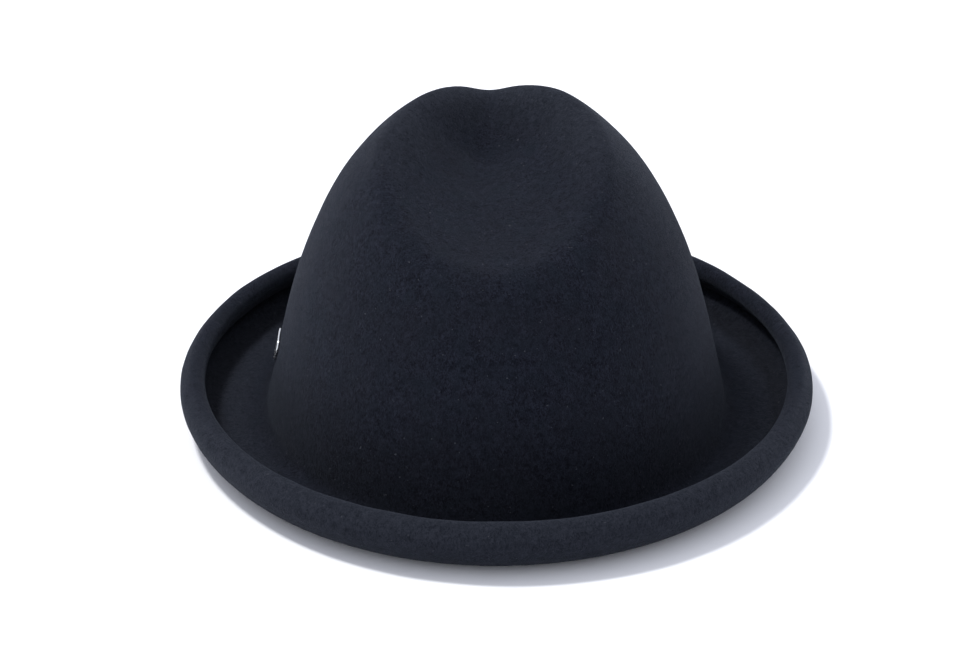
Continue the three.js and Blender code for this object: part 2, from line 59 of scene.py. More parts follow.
FELT = 2.2 * MM
CROWN_HALF_WIDTH = 91 * MM
CROWN_HALF_LENGTH = 109 * MM
CROWN_HEIGHT = 134.5 * MM
CROWN_TAPER = 0.306
CROWN_SQUARENESS = 3.68
FOOT_RADIUS = 6.3 * MM
BRIM_FLAT = 12.4 * MM
BRIM_DISH_RADIUS = 16.4 * MM
BRIM_DISH = 72.5
BRIM_BEND_RADIUS = 5.3 * MM
BRIM_LEAN = 134
BRIM_WALL = 1.7 * MM
ROLL_RADIUS = 2.95 * MM
ROLL_TURN = 169
ROLL_TAIL = 5.0 * MM
CREASE_FRONT = -81 * MM
CREASE_FRONT_Z = 88.6 * MM
CREASE_BACK = 17.7 * MM
CREASE_BACK_Z = 100.5 * MM
CREASE_CLIMB = 0.61
CREASE_CLIMB_BLEND = 6.5 * MM
CREASE_HALF_FRONT = 42.8 * MM
CREASE_HALF_BACK = 19.5 * MM
CREASE_SIDE = 8.7 * MM
CREASE_EDGE_BLEND = 7 * MM
CREASE_RIM_BLEND = 12 * MM
CREASE_NOTCH = 9.6 * MM
CREASE_NOTCH_X = -4.4 * MM
CREASE_NOTCH_HALF = 11.3 * MM
CREASE_TILT = 0.099
CREASE_SPREAD = (-0.3, 1.6)  # shares of its length between which the crease narrows
CREASE_NOTCH_START = 0.6
BAND_BOTTOM = 4 * MM
BAND_HEIGHT = 33 * MM
BAND_THICKNESS = 0.8 * MM
BAND_SPLIT = 1.2 * MM
CLOTH = 0.4 * MM
GAP = 0.35 * MM
LINING_CLEARANCE = 1.9 * MM
LINING_SLACK = 2 * MM
LINING_BOTTOM = 24 * MM
LINING_SEAM = 0.42
LINING_ROWS = 14
CORD_RADIUS = 0.6 * MM
CORD_DROP = 1.1 * MM
REED_RADIUS = 0.6 * MM
REED_TAPE = 0.25 * MM
REED_INSET = 1.1 * MM
REED_Z = 3.1 * MM
STITCH_Z = BAND_BOTTOM + 2.6 * MM
BOW_Z = BAND_BOTTOM + 9 * MM
RIBBON_WIDTH = 5 * MM
BOW_LOOP_LENGTH = 15 * MM
BOW_LOOP_DEPTH = 4.4 * MM
BOW_WALL = 0.6 * MM
BADGE_LENGTH = 16 * MM
BADGE_HEIGHT = 10 * MM
BADGE_THICKNESS = 0.8 * MM
BADGE_CENTRE_Z = 26.5 * MM
CARE_LABEL_FOLD = 0.9 * MM

MID_HALF_WIDTH = CROWN_HALF_WIDTH - FELT / 2
MID_HALF_LENGTH = CROWN_HALF_LENGTH - FELT / 2
MID_TOP = CROWN_HEIGHT - FELT / 2
FOOT_LEAN = math.atan((CROWN_HALF_WIDTH + CROWN_HALF_LENGTH) / 2 * CROWN_TAPER / CROWN_HEIGHT)
FOOT_Z = FELT / 2 + FOOT_RADIUS * (1 - math.sin(FOOT_LEAN))

BRIM_OVAL = (MID_HALF_WIDTH + FOOT_RADIUS + BRIM_FLAT, MID_HALF_LENGTH + FOOT_RADIUS + BRIM_FLAT)
LINING_INSET = FELT / 2 + LINING_CLEARANCE
BAND_INSET = LINING_CLEARANCE + CLOTH + GAP
BAND_FACE = BAND_INSET + BAND_THICKNESS
BAND_TOP = BAND_BOTTOM + BAND_HEIGHT
FACING_INSET = BAND_FACE + GAP

SEGMENTS = 288
CROWN_ROWS = 120

# ---- Handwork that the CAD part leaves out -----------------------------------------------

ROLL_LIFTED_AT, ROLL_LIFTED_WIDTH = math.radians(150), 0.75
ROLL_LIFTED_TURN = 10  # degrees
ROLL_LIFTED_TAIL = 0.25
ROLL_PRESSED_AT, ROLL_PRESSED_WIDTH = math.radians(15), 0.9
ROLL_PRESSED_TURN = 8  # degrees
FELT_WAVES = ((38 * MM, 0.55 * MM, 3.1), (13 * MM, 0.16 * MM, 8.4))  # size, amount, seed
FELT_WAVES_FROM = 12 * MM
SIDE_FOLDS, SIDE_FOLD_DEPTH = 84, 1.0 * MM
TIP_FOLDS, TIP_FOLD_DEPTH, TIP_FOLD_REACH = 60, 0.35 * MM, 0.3
CORD_STRANDS, CORD_TWISTS = 3, 110
BAND_STITCHES, BAND_STITCH_SHARE = 184, 0.72
THREAD_RADIUS = 0.22 * MM
LABEL_THREAD_RADIUS = 0.14 * MM
TAPE_THREAD_RADIUS = 0.13 * MM
CARE_LABEL_LEAF = 0.26 * MM
CARE_LABEL_CURL = 0.25 * MM
BADGE_LIFT = 0.15 * MM
BADGE_BEND_RADIUS = 130 * MM
BADGE_POST_PLACES = (-4 * MM, 4 * MM)
BADGE_POST_WIDTH = 1 * MM
BADGE_POST_DEPTH = 4.3 * MM
# From the middle of the front to the edge: share of the way, and depth below the top.
BADGE_DOME = (
    (0, 0), (0.3, 0.01 * MM), (0.6, 0.05 * MM), (0.78, 0.14 * MM), (0.82, 0.2 * MM),
    (0.86, 0.05 * MM), (0.9, 0), (0.95, 0.02 * MM), (0.985, 0.12 * MM), (1, 0.3 * MM),
)
PATCH_BORDER = 1.1 * MM
PATCH_BORDER_RIDGE = (0.35 * MM, 0.1 * MM)  # width and depth
PATCH_STITCH_INSET = 0.7 * MM

# ---- View, light and floor ---------------------------------------------------------------

CAMERA_PLACE = (0, -1.101, 0.548)
CAMERA_TARGET = (-0.0025, -0.0103, 0.0396)
CAMERA_LENS = 112.7
CAMERA_SENSOR = 36
KEY_PLACE, KEY_SIZE, KEY_WATTS = (-0.60, 0.10, 1.44), 0.22, 15.2
SKY_COLOUR, SKY_STRENGTH = (0.87, 0.90, 1.0, 1), 0.97
FLOOR_HALF = 6
FLOOR_DROP = 0.05 * MM


# ---- Mesh helpers ------------------------------------------------------------------------

def mesh_object(name, verts, faces):
    """A smooth mesh object in the scene's collection, with its faces turned outwards."""
    mesh = bpy.data.meshes.new(name)
    mesh.from_pydata([tuple(v) for v in verts], [], faces)
    mesh.validate()
    if signed_volume(mesh) < 0:
        mesh.flip_normals()
    mesh.polygons.foreach_set("use_smooth", [True] * len(mesh.polygons))
    obj = bpy.data.objects.new(name, mesh)
    bpy.context.scene.collection.objects.link(obj)
    return obj


def signed_volume(mesh):
    """Volume inside a closed mesh, below zero if its faces point inwards."""
    mesh.calc_loop_triangles()
    count = len(mesh.loop_triangles)
    corners = np.zeros(count * 3, np.int32)
    mesh.loop_triangles.foreach_get("vertices", corners)
    points = np.zeros(len(mesh.vertices) * 3)
    mesh.vertices.foreach_get("co", points)
    a, b, c = points.reshape(-1, 3)[corners.reshape(-1, 3)].transpose(1, 0, 2)
    return float(np.einsum("ij,ij->i", a, np.cross(b, c)).sum() / 6)


def grid_faces(rows, columns, wrap_rows=False, wrap_columns=True):
    """Quads between neighbouring rows of points that are stored row by row."""
    faces = []
    for r in range(rows if wrap_rows else rows - 1):
        low, high = r * columns, (r + 1) % rows * columns
        for c in range(columns if wrap_columns else columns - 1):
            d = (c + 1) % columns
            faces.append((low + c, low + d, high + d, high + c))
    return faces


def closed_skin(name, grid, tips=None):
    """A closed solid from rows of points round the hat. It wraps into a ring unless it has
    two tips, the points that close its first and last row."""
    rows, columns = grid.shape[:2]
    verts = list(grid.reshape(-1, 3))
    faces = grid_faces(rows, columns, wrap_rows=tips is None)
    if tips is not None:
        first, last = len(verts), (rows - 1) * columns
        verts.extend(tips)
        for c in range(columns):
            d = (c + 1) % columns
            faces.append((first, d, c))
            faces.append((first + 1, last + c, last + d))
    return mesh_object(name, verts, faces)


def joined(name, solids):
    """One object from several closed solids, each a pair of points and faces."""
    verts, faces = [], []
    for points, quads in solids:
        faces.extend(tuple(len(verts) + i for i in face) for face in quads)
        verts.extend(points)
    return mesh_object(name, verts, faces)


def thetas(count=SEGMENTS):
    """Even angles round the hat."""
    return np.arange(count) * TURN / count


def outwards(theta):
    """Level unit vectors from the middle of the hat, one for each angle."""
    return np.stack([np.cos(theta), np.sin(theta), 0 * theta], -1)


def ripple(points, size, amount, seed=0.0):
    """Smooth irregular values, one for each point, with features of about that size."""
    shift = Vector((seed, 1.7 * seed, -seed))
    flat = points.reshape(-1, 3) / size
    values = [noise.noise(Vector(p) + shift) for p in flat]
    return amount * np.array(values).reshape(points.shape[:-1])


# ---- Shape of the crown and brim ---------------------------------------------------------

def crown_profile(climb):
    """Height share and width share of the uncreased crown, from its foot at 0 to its top."""
    rise = np.sin(climb) ** (2 / CROWN_SQUARENESS)
    return rise, (1 - CROWN_TAPER * rise) * np.cos(climb)


def crease_height(x, y):
    """Height of the crease's bottom and sides over a point of the plan."""
    along = (y - CREASE_FRONT) / (CREASE_BACK - CREASE_FRONT)
    floor = CREASE_FRONT_Z + (CREASE_BACK_Z - CREASE_FRONT_Z) * along
    past = y - CREASE_BACK
    climb = CREASE_CLIMB * (past + np.hypot(past, CREASE_CLIMB_BLEND)) / 2
    spread = np.clip(along, *CREASE_SPREAD)
    half = CREASE_HALF_FRONT + (CREASE_HALF_BACK - CREASE_HALF_FRONT) * spread
    dip = np.exp(-(((x - CREASE_NOTCH_X) / CREASE_NOTCH_HALF) ** 2))
    notch = CREASE_NOTCH * dip * np.clip(along - CREASE_NOTCH_START, 0, 1)
    tilt = CREASE_TILT * x * np.clip(along, 0, 1)
    return floor + climb + CREASE_SIDE * (x / half) ** 2 - notch + tilt


def blend_lower(a, b, y):
    """The lower of two heights. The corner between them is rounded, less so at the front."""
    along = np.clip((y - CREASE_FRONT) / (CREASE_BACK - CREASE_FRONT), 0, 1)
    blend = CREASE_EDGE_BLEND + (CREASE_RIM_BLEND - CREASE_EDGE_BLEND) * along
    share = np.clip(0.5 + (b - a) / (2 * blend), 0, 1)
    return b + (a - b) * share - blend * share * (1 - share)


def crown_points(climb, theta, inset=0.0, sink=0.0):
    """Points of the creased crown. Inset moves the surface inwards and sink lowers its top."""
    rise, scale = crown_profile(climb)
    x = (MID_HALF_WIDTH - inset) * scale * np.cos(theta)
    y = (MID_HALF_LENGTH - inset) * scale * np.sin(theta)
    z = FOOT_Z + (MID_TOP - FOOT_Z) * rise - sink * rise**2 + 0 * x
    return np.stack([x, y, blend_lower(z, crease_height(x, y) - sink, y)], -1)


def even_climbs(rows):
    """Values of climb that lie evenly along the crown's profile, from foot to top."""
    fine = np.linspace(0, math.pi / 2, 4000)
    rise, scale = crown_profile(fine)
    steps = np.hypot(np.diff(MID_HALF_WIDTH * scale), np.diff((MID_TOP - FOOT_Z) * rise))
    lengths = np.concatenate([[0], np.cumsum(steps)])
    return np.interp(np.linspace(0, lengths[-1], rows + 1), lengths, fine)


def wall_points(z, theta, inset):
    """Points on the crown's upright inner wall, inset from the felt's inner face."""
    rise = (z - FOOT_Z) / (MID_TOP - FOOT_Z)
    scale = (1 - CROWN_TAPER * rise) * np.sqrt(1 - np.maximum(rise, 0) ** CROWN_SQUARENESS)
    x = (MID_HALF_WIDTH - FELT / 2 - inset) * scale * np.cos(theta)
    y = (MID_HALF_LENGTH - FELT / 2 - inset) * scale * np.sin(theta)
    return np.stack([x, y, z + 0 * x], -1)


def bump_round(theta, centre, width):
    """1 at an angle round the hat, falling to 0 at about twice the width from it."""
    away = np.abs((theta - centre + math.pi) % TURN - math.pi)
    return np.exp(-((away / width) ** 2))


def brim_steps(theta):
    """The brim's path outwards from the crown's foot, as (length or radius, turn, parts). The
    roll is a little open on one side and pressed down on the other."""
    lifted = bump_round(theta, ROLL_LIFTED_AT, ROLL_LIFTED_WIDTH)
    pressed = bump_round(theta, ROLL_PRESSED_AT, ROLL_PRESSED_WIDTH)
    roll = np.radians(ROLL_TURN - ROLL_LIFTED_TURN * lifted + ROLL_PRESSED_TURN * pressed)
    return [
        (FOOT_RADIUS, math.pi / 2 - FOOT_LEAN, 8),
        (BRIM_FLAT, 0, 10),
        (BRIM_DISH_RADIUS, math.radians(BRIM_DISH), 14),
        (BRIM_BEND_RADIUS, math.radians(BRIM_LEAN - BRIM_DISH), 6),
        (BRIM_WALL, 0, 2),
        (ROLL_RADIUS, roll, 20),
        (ROLL_TAIL * (1 - ROLL_LIFTED_TAIL * lifted), 0, 5),
    ]


def brim_path(theta):
    """How far out and how high the middle of the brim's felt is, row by row."""
    out, z = np.zeros_like(theta), np.full_like(theta, FOOT_Z)
    heading = np.full_like(theta, FOOT_LEAN - math.pi / 2)
    rows = [(out, z)]
    for size, turn, parts in brim_steps(theta):
        straight = np.ndim(turn) == 0 and turn == 0
        for _ in range(parts):
            run = size / parts if straight else 2 * size * np.sin(turn / parts / 2)
            mean = heading + turn / parts / 2
            out, z = out + run * np.cos(mean), z + run * np.sin(mean)
            heading = heading + turn / parts
            rows.append((out, z))
    return (np.array(part) for part in zip(*rows))


def brim_grid(theta):
    """Middle of the brim's felt, row by row from the crown's foot to the raw edge."""
    out, z = brim_path(theta)
    facing = np.stack([MID_HALF_LENGTH * np.cos(theta), MID_HALF_WIDTH * np.sin(theta)], -1)
    facing /= np.linalg.norm(facing, axis=-1, keepdims=True)
    x = MID_HALF_WIDTH * np.cos(theta) + out * facing[:, 0]
    y = MID_HALF_LENGTH * np.sin(theta) + out * facing[:, 1]
    return np.stack([x, y, z], -1)


def outward_normals(grid):
    """Unit normals of rows of points that run from the crown's top to the raw edge."""
    down = np.gradient(grid, axis=0)
    padded = np.concatenate([grid[:, -1:], grid, grid[:, :1]], 1)
    round_ = padded[:, 2:] - padded[:, :-2]
    normals = np.cross(down, round_)
    return normals / np.linalg.norm(normals, axis=-1, keepdims=True)


# ---- Felt body ---------------------------------------------------------------------------

def felt_middle():
    """Middle of the felt's thickness, from just under the top of the crown to the raw edge."""
    theta = thetas()
    climbs = even_climbs(CROWN_ROWS)[1:-1][::-1]
    crown = np.stack([crown_points(climb, theta) for climb in climbs])
    return np.concatenate([crown, brim_grid(theta)])


def handwork(middle, normals):
    """The small unevenness of steamed and hand-set felt, moved along its normals."""
    rise = np.clip((middle[..., 2] - FOOT_Z) / FELT_WAVES_FROM, 0, 1)
    amount = sum(ripple(middle, *wave) for wave in FELT_WAVES)
    return middle + normals * (amount * rise)[..., None]


def raw_edge(middle, normals):
    """Rows of points over the brim's cut edge, from the felt's outer face to its inner one."""
    edge_way = middle[-1] - middle[-2]
    edge_way /= np.linalg.norm(edge_way, axis=-1, keepdims=True)
    edge = []
    for angle in np.linspace(0, math.pi, 9)[1:-1]:
        across, along = math.cos(angle), math.sin(angle) ** 0.6 * 0.55
        edge.append(middle[-1] + FELT / 2 * (across * normals[-1] + along * edge_way))
    return np.array(edge)


def make_felt_body():
    middle = felt_middle()
    middle = handwork(middle, outward_normals(middle))
    normals = outward_normals(middle)
    half = FELT / 2
    outer, inner = middle + half * normals, (middle - half * normals)[::-1]
    top = crown_points(np.array(math.pi / 2), np.array(0.0))
    lift = np.array([0, 0, half])
    grid = np.concatenate([outer, raw_edge(middle, normals), inner])
    body = closed_skin("felt_hat_body", grid, tips=[top + lift, top - lift])
    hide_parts("felt_body")
    return body


# ---- Lining ------------------------------------------------------------------------------

def climb_at(z):
    """The climb at which the uncreased crown is at a height."""
    return math.asin(((z - FOOT_Z) / (MID_TOP - FOOT_Z)) ** (CROWN_SQUARENESS / 2))


SEAM_CLIMB = even_climbs(LINING_ROWS)[round(LINING_ROWS * (1 - LINING_SEAM))]


def lining_points(climb, theta, layer, tuck=0.0):
    """Points of the lining. Layer is 0 on the cloth's outer face and 1 on its inner face, and
    tuck is how far folds stand in from there."""
    inset = LINING_INSET + layer * CLOTH + tuck
    sink = LINING_INSET + LINING_SLACK + layer * CLOTH * 1.8 + tuck
    return crown_points(climb, theta, inset, sink)


def gathers(theta, folds, seed):
    """Heights from 0 to 1 of uneven folds round the hat."""
    ring = outwards(theta)
    drift = ripple(ring, 0.22, 3.0, seed)
    height = 0.65 + ripple(ring, 0.12, 0.7, seed + 5)
    return np.clip(height, 0.15, 1) * (0.5 + 0.5 * np.sin(folds * theta + drift)) ** 1.4


def make_lining_side():
    """The band of satin inside the crown, in folds that grow towards its upper edge."""
    theta = thetas(720)
    share = np.linspace(0, 1, 44)
    low = climb_at(LINING_BOTTOM)
    climbs = low + (SEAM_CLIMB - 0.012 - low) * share
    height = share**1.3 * (1 - 0.75 * np.clip((share - 0.9) / 0.1, 0, 1))
    tuck = SIDE_FOLD_DEPTH * height[:, None] * gathers(theta, SIDE_FOLDS, 2.3)
    faces = [lining_points(climbs[:, None], theta, layer, tuck) for layer in (0, 1)]
    piece = closed_skin("lining_side_satin", np.concatenate([faces[0], faces[1][::-1]]))
    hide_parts("lining_side")
    return piece


def make_lining_tip():
    """The satin under the top of the crown, with small folds near its edge."""
    theta = thetas(360)
    share = np.linspace(0, 1, 48)[:-1]
    climbs = SEAM_CLIMB + (math.pi / 2 - SEAM_CLIMB) * share
    height = np.clip(1 - share / TIP_FOLD_REACH, 0, 1) ** 1.5
    tuck = TIP_FOLD_DEPTH * height[:, None] * gathers(theta, TIP_FOLDS, 7.7)
    faces = [lining_points(climbs[:, None], theta, layer, tuck) for layer in (0, 1)]
    tips = [lining_points(np.array(math.pi / 2), np.array(0.0), layer) for layer in (0, 1)]
    piece = closed_skin("lining_tip_satin", np.concatenate([faces[0][::-1], faces[1]]), tips=tips)
    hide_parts("lining_tip")
    return piece


def make_lining_cord():
    """The seam between lining tip and side, piped with a three-strand cord."""
    sides = 12
    inset = LINING_INSET + CLOTH + GAP + CORD_RADIUS
    theta = thetas(1320)
    centre = crown_points(SEAM_CLIMB, theta, inset, inset + LINING_SLACK + CORD_DROP)
    out = outwards(theta)
    rows = []
    for turn in np.arange(sides) * TURN / sides:
        lobe = CORD_RADIUS * (0.84 + 0.16 * np.cos(CORD_STRANDS * turn - CORD_TWISTS * theta))
        rows.append(centre + out * (lobe * math.cos(turn))[:, None])
        rows[-1][:, 2] += lobe * math.sin(turn)
    piece = closed_skin("lining_seam_piping", np.stack(rows))
    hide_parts("lining_seam_cord")
    return piece


# ---- Sweatband and what is sewn to it ----------------------------------------------------

def strip(name, section, angles):
    """A closed strip that stands round the hat from the first angle to the last. Its section
    is a closed outline of (inset, z) pairs."""
    rows = np.stack([wall_points(section[:, 1], theta, section[:, 0]) for theta in angles])
    return closed_skin(name, rows, tips=[rows[0].mean(0), rows[-1].mean(0)])


def edge_cap(inset, half, middle, way):
    """Points over a flat strip's rounded edge, at its top (way 1) or bottom (way -1)."""
    points = []
    for turn in np.radians([30, 60, 90, 120, 150]):
        across, along = way * half * math.cos(turn), way * half * math.sin(turn)
        points.append((inset + half - across, middle + along))
    return points


def round_ended(bottom, top, inset, thickness, rows, emboss=()):
    """The section of a flat strip with rounded edges. Emboss has (z, width, depth) of lines
    that are pressed into its inner face."""
    half = thickness / 2
    z = np.linspace(bottom + half, top - half, rows)
    inner = np.full_like(z, inset + thickness)
    for place, width, depth in emboss:
        inner -= depth * np.exp(-(((z - place) / width) ** 2))
    points = [(inset, height) for height in z]
    points += edge_cap(inset, half, z[-1], 1)
    points += list(zip(inner[::-1], z[::-1]))
    points += edge_cap(inset, half, z[0], -1)
    return np.array(points)


def angle_for(width):
    """The angle round the hat that a width takes, measured at the crown's side."""
    return width / MID_HALF_WIDTH


def make_sweatband():
    half = angle_for(BAND_SPLIT) / 2
    angles = np.linspace(REAR + half, REAR + TURN - half, 360)
    lines = [(STITCH_Z, 0.5 * MM, 0.12 * MM), (BAND_TOP - 2.4 * MM, 0.35 * MM, 0.16 * MM)]
    section = round_ended(BAND_BOTTOM, BAND_TOP, BAND_INSET, BAND_THICKNESS, 90, lines)
    piece = strip("sweatband_leather", section, angles)
    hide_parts("sweatband")
    return piece


def make_reed():
    """The thin round rod along the sweatband's lower edge."""
    theta, sides = thetas(), 12
    centre, out = wall_points(REED_Z, theta, REED_INSET), outwards(theta)
    rows = []
    for turn in np.arange(sides) * TURN / sides:
        lift = [0, 0, REED_RADIUS * math.sin(turn)]
        rows.append(centre + out * REED_RADIUS * math.cos(turn) + lift)
    piece = closed_skin("sweatband_reed_rod", np.stack(rows))
    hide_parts("sweatband_reed")
    return piece


def reed_fold(radius):
    """One face of the reed tape: (inset, z) round the reed, then up the sweatband's back."""
    turns = np.radians(np.linspace(50, -180, 22))
    points = [(REED_INSET - radius * math.cos(t), REED_Z + radius * math.sin(t)) for t in turns]
    leg = np.linspace(REED_Z, BAND_BOTTOM + 5 * MM, 12)[1:]
    return points + [(REED_INSET + radius, z) for z in leg]


def make_reed_tape():
    """The tape folded round the reed, with its inner leg up the back of the sweatband."""
    inner = REED_RADIUS + GAP
    section = np.array(reed_fold(inner + REED_TAPE) + reed_fold(inner)[::-1])
    rows = np.stack([wall_points(section[:, 1], theta, section[:, 0]) for theta in thetas()])
    piece = closed_skin("reed_tape_cloth", rows)
    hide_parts("reed_tape")
    return piece


def stitch(start, end, out, radius=THREAD_RADIUS, sides=6, rows=7):
    """One stitch of thread between two points, bowed outwards, as a closed solid."""
    start, end, out = np.array(start), np.array(end), np.array(out)
    along = (end - start) / np.linalg.norm(end - start)
    side = np.cross(out, along)
    points = []
    for share in np.linspace(0.06, 0.94, rows):
        thick = radius * (1 - abs(2 * share - 1) ** 3) ** 0.5
        rise = radius * (1.3 * math.sin(math.pi * share) - 0.6)
        here = start + (end - start) * share + out * rise
        for turn in np.arange(sides) * TURN / sides:
            points.append(here + thick * (side * math.cos(turn) + out * math.sin(turn)))
    faces = grid_faces(rows, sides)
    faces.append(tuple(range(sides))[::-1])
    faces.append(tuple(range((rows - 1) * sides, rows * sides)))
    return points, faces


def band_point(theta, z, inset=BAND_FACE):
    """A point on the sweatband's inner face, or further in."""
    return wall_points(np.array(z), np.array(theta), inset)


def inward(theta):
    """The level direction towards the middle of the hat."""
    return np.array([-math.cos(theta), -math.sin(theta), 0])


def make_band_stitching():
    """The line of stitches through the sweatband's lower edge, except at its rear split."""
    half = angle_for(BAND_SPLIT)
    step = (TURN - 2 * half) / BAND_STITCHES
    solids = []
    for i in range(BAND_STITCHES):
        here = REAR + half + (i + 0.5) * step
        ends = [band_point(here + way * BAND_STITCH_SHARE * step / 2, STITCH_Z) for way in (-1, 1)]
        solids.append(stitch(*ends, inward(here)))
    piece = joined("sweatband_stitches", solids)
    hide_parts("sweatband_stitching")
    return piece


def facing_patch(name, centre, width, bottom, height, columns=48):
    """A flat patch sewn on the sweatband's inner face, with a woven line along its borders."""
    half = angle_for(width) / 2
    borders = (bottom + PATCH_BORDER, bottom + height - PATCH_BORDER)
    border = [(place, *PATCH_BORDER_RIDGE) for place in borders]
    section = round_ended(bottom, bottom + height, FACING_INSET, CLOTH, 24, border)
    return strip(name, section, np.linspace(centre - half, centre + half, columns))


def running_stitches(centre, width, bottom, height, pitch=2.2 * MM):
    """Stitches along the edge of a patch on the sweatband's inner face."""
    face = FACING_INSET + CLOTH
    half = angle_for(width) / 2 - angle_for(PATCH_STITCH_INSET)
    low, high = bottom + PATCH_STITCH_INSET, bottom + height - PATCH_STITCH_INSET
    across = max(2, round(2 * half * MID_HALF_WIDTH / pitch))
    upward = max(2, round((high - low) / pitch))
    pairs = []
    for i in range(across):
        turns = [centre - half + 2 * half * (i + share) / across for share in (0.15, 0.85)]
        pairs += [[band_point(turn, z, face) for turn in turns] for z in (low, high)]
    for i in range(upward):
        heights = [low + (high - low) * (i + share) / upward for share in (0.15, 0.85)]
        for turn in (centre - half, centre + half):
            pairs.append([band_point(turn, z, face) for z in heights])
    return [stitch(*ends, inward(centre), radius=LABEL_THREAD_RADIUS) for ends in pairs]


def zigzag(centre, width, bottom, height, pitch=1.8 * MM):
    """Zigzag stitches up both sides of the seam tape."""
    solids = []
    face = FACING_INSET + CLOTH
    steps = int(height / pitch)
    for side in (-1, 1):
        edge = centre + side * angle_for(width / 2 - 1.3 * MM)
        for i in range(steps):
            swing = angle_for(0.7 * MM) * (1 if i % 2 else -1)
            low = bottom + height * (i + 0.06) / steps
            high = bottom + height * (i + 0.94) / steps
            ends = [band_point(edge - swing, low, face), band_point(edge + swing, high, face)]
            solids.append(stitch(*ends, inward(centre), radius=TAPE_THREAD_RADIUS))
    return solids


# Each is (middle's angle, width, bottom, height).
SEAM_TAPE = (REAR, 10 * MM, BAND_BOTTOM + 4 * MM, 27 * MM)
MAKER_LABEL = (FRONT + TURN, 44 * MM, BAND_BOTTOM + 7 * MM, 18 * MM)
SIZE_LABEL = (REAR + 0.42, 14 * MM, BAND_BOTTOM + 10 * MM, 14 * MM)


def make_facings():
    """The seam tape and the two blank labels on the sweatband, and the thread that holds them."""
    tape = facing_patch("rear_seam_ribbon", *SEAM_TAPE, columns=16)
    maker = facing_patch("maker_label_blank", *MAKER_LABEL)
    size = facing_patch("size_label_blank", *SIZE_LABEL)
    for piece, node, facts in (
        (tape, "rear_seam_tape", SEAM_TAPE),
        (maker, "maker_label", MAKER_LABEL),
        (size, "size_label", SIZE_LABEL),
    ):
        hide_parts(node)
    label_seams = running_stitches(*MAKER_LABEL) + running_stitches(*SIZE_LABEL)
    thread = joined("label_stitches", label_seams)
    seam_thread = joined("seam_tape_stitches", zigzag(*SEAM_TAPE))
    return tape, maker, size, thread, seam_thread


# ---- Bow ---------------------------------------------------------------------------------

BOW_BACK = band_point(REAR, BOW_Z + RIBBON_WIDTH, FACING_INSET + CLOTH + GAP)[1] - 1 * MM
BOW_MIDDLE = BOW_BACK - BOW_LOOP_DEPTH / 2
KNOT_HALF = Vector((1.3, 1.8, 3.0)) * MM


def make_bow_loop(side):
    """A flattened loop of ribbon that is gathered towards the knot."""
    start = KNOT_HALF.x + GAP
    turns = np.arange(72) * TURN / 72
    along = 0.5 + 0.5 * np.cos(turns)
    spread = 0.42 + 0.58 * np.sin(along * math.pi / 2)
    x = start + along * BOW_LOOP_LENGTH
    y = BOW_MIDDLE + (BOW_LOOP_DEPTH / 2 - BOW_WALL / 2) * np.sin(turns) * np.sqrt(spread)
    middle = np.stack([x, y], -1)
    tangent = np.roll(middle, -1, 0) - np.roll(middle, 1, 0)
    tangent /= np.linalg.norm(tangent, axis=-1, keepdims=True)
    across = np.stack([tangent[:, 1], -tangent[:, 0]], -1) * BOW_WALL / 2
    heights = np.linspace(-1, 1, 11)
    rows = []
    for face, order in ((1, heights), (-1, heights[::-1])):
        for height in order:
            thin = 0.75 if abs(height) == 1 else 1
            pucker = 0.12 * MM * np.cos(3 * math.pi * height) * (1 - along) ** 2
            flat = middle + face * across * thin + pucker[:, None] * np.array([0, 1])
            z = BOW_Z + height * RIBBON_WIDTH / 2 * spread
            rows.append(np.concatenate([flat * [side, 1], z[:, None]], -1))
    word = "left" if side < 0 else "right"
    piece = closed_skin(f"bow_ribbon_{word}", np.stack(rows))
    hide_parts(f"bow_loop_{word}")
    return piece


def squared_circle(turns, half_width, half_height, power):
    """x and y of a circle stretched to a size and squared off, more so at a lower power."""
    x, y = np.cos(turns), np.sin(turns)
    return (half_width * np.sign(x) * np.abs(x) ** power,
            half_height * np.sign(y) * np.abs(y) ** power)


def make_bow_knot():
    """The ribbon wrapped round the middle of the bow: a rounded block with two soft folds."""
    turns = np.arange(40) * TURN / 40
    rows = []
    for rise in np.radians(np.linspace(-84, 84, 25)):
        width = math.cos(rise) ** 0.3
        fold = 1 - 0.07 * np.cos(4 * turns) * math.cos(rise)
        x, y = squared_circle(turns, KNOT_HALF.x * width, KNOT_HALF.y * width, 0.5)
        z = np.full_like(x, KNOT_HALF.z * math.copysign(abs(math.sin(rise)) ** 0.6, rise))
        rows.append(np.stack([x * fold, y * fold + BOW_MIDDLE, z + BOW_Z], -1))
    tips = [rows[0].mean(0), rows[-1].mean(0)]
    piece = closed_skin("bow_knot_ribbon", np.stack(rows), tips=tips)
    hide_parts("bow_knot")
    return piece


# ---- Care label --------------------------------------------------------------------------

def care_label_outline(low, high):
    """The folded label seen from its side: (y, z) down its back leaf, round the fold and up
    its front leaf."""
    middle, half = (low.y + high.y) / 2, (high.y - low.y) / 2
    drop = np.linspace(0, 1, 26)
    bow = -CARE_LABEL_FOLD * drop**2
    belly = (half - CARE_LABEL_LEAF) * np.sin(np.pi * np.clip(drop * 0.9 + 0.1, 0, 1)) ** 0.5
    z = high.z + (low.z + half - high.z) * drop
    fold = np.radians(np.linspace(0, -180, 9))[1:-1]
    fold_y = middle + bow[-1] + half * 0.75 * np.cos(fold)
    fold_z = z[-1] + half * np.sin(fold) * 0.9
    outline = list(zip(middle + bow + belly + CARE_LABEL_LEAF, z)) + list(zip(fold_y, fold_z))
    outline += list(zip(middle + bow - belly - CARE_LABEL_LEAF, z))[::-1]
    return np.array(outline)


